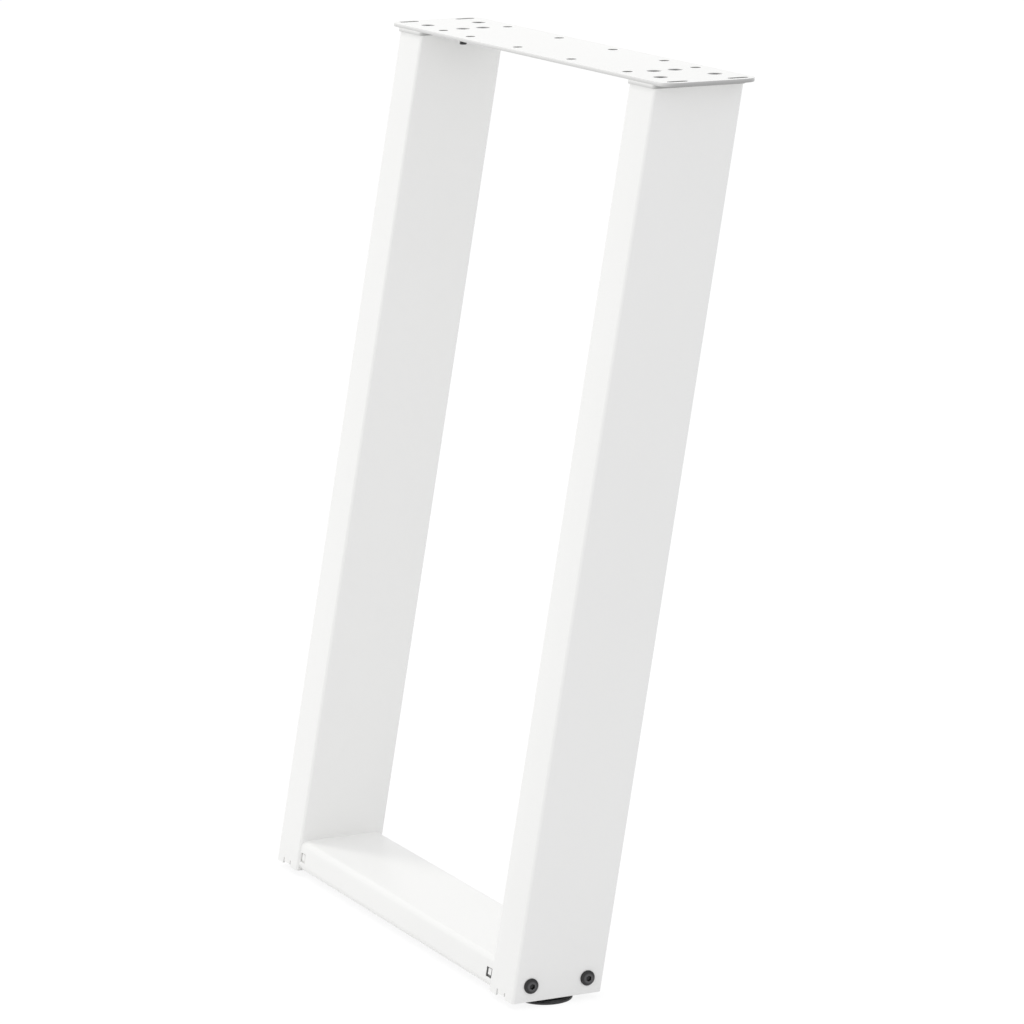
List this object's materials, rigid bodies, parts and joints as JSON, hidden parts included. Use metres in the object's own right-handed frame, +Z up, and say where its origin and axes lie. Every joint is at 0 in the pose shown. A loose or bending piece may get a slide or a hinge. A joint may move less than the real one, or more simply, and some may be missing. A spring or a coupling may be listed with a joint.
{
  "type": "table leg",
  "caption": "U-shaped steel table leg: leaning box-section uprights under a drilled mounting plate, joined near the floor by a folded bar, with round levelling feet.",
  "frame": {"origin": "centre of the mounting plate's top face", "axes": "+X along the mounting plate from the left upright to the right one, +Y to the back, where the uprights' tops lean, +Z up out of the plate's top face, towards the table top"},
  "size_m": [0.5, 0.2013, 0.704],
  "materials": {
    "white_coat": "satin",
    "black_screws": "matte",
    "dark_screws": "satin",
    "black_plastic": "matte",
    "zinc_steel": "satin"
  },
  "bodies": {
    "frame": {"mounting_plate": "white_coat", "plate_screws": "black_screws", "foot_bar": "white_coat", "left_head_plate": "white_coat", "left_upright": "white_coat", "left_foot_plate": "white_coat", "left_foot_nut": "zinc_steel", "left_bar_bracket": "white_coat", "left_bar_nuts": "zinc_steel", "left_bar_screws": "dark_screws", "right_head_plate": "white_coat", "right_upright": "white_coat", "right_foot_plate": "white_coat", "right_foot_nut": "zinc_steel", "right_bar_bracket": "white_coat", "right_bar_nuts": "zinc_steel", "right_bar_screws": "dark_screws"},
    "left_foot": {"left_foot_stem": "zinc_steel", "left_foot_pad": "black_plastic"},
    "right_foot": {"right_foot_stem": "zinc_steel", "right_foot_pad": "black_plastic"}
  },
  "joints": [
    {"name": "left_foot_screw", "type": "slide", "parent": "frame", "child": "left_foot", "axis": [0, 0, -1], "range_m": [0, 0.01]},
    {"name": "right_foot_screw", "type": "slide", "parent": "frame", "child": "right_foot", "axis": [0, 0, -1], "range_m": [0, 0.01]}
  ]
}
